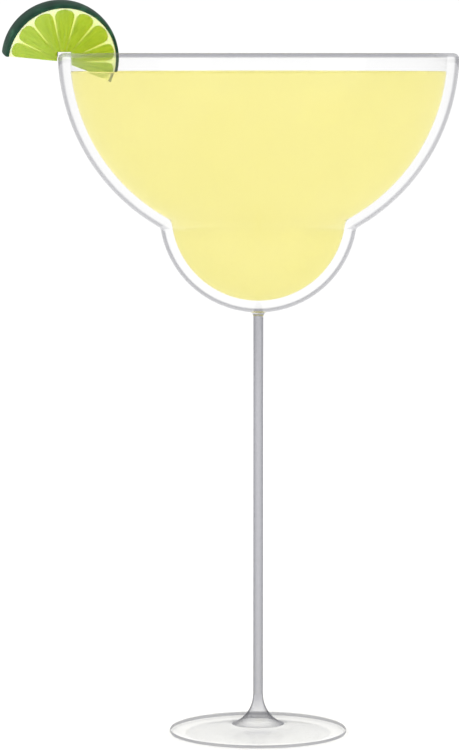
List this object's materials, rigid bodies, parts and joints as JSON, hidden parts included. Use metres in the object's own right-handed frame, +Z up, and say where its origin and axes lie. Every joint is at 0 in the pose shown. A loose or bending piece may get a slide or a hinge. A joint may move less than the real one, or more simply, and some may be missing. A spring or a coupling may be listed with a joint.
{
  "type": "margarita cocktail",
  "caption": "Margarita in a stemmed glass with a ball-shaped bowl over a small bulb, filled almost to the rim, with half a lime wheel astride the rim.",
  "frame": {"origin": "centre of the underside of the foot, on the surface that the glass stands on", "axes": "+Z up along the stem to the rim; the lime is on the -X side and its front looks towards -Y"},
  "size_m": [0.1359, 0.1194, 0.2208],
  "materials": {
    "clear_glass": "clear, fire polished",
    "lime_drink": "cloudy pale yellow liquid, wet surface",
    "lime_fruit": "moist pulp in a waxy dark green peel"
  },
  "bodies": {
    "root": {"glass": "clear_glass", "drink": "lime_drink", "lime_slice": "lime_fruit"}
  },
  "joints": []
}
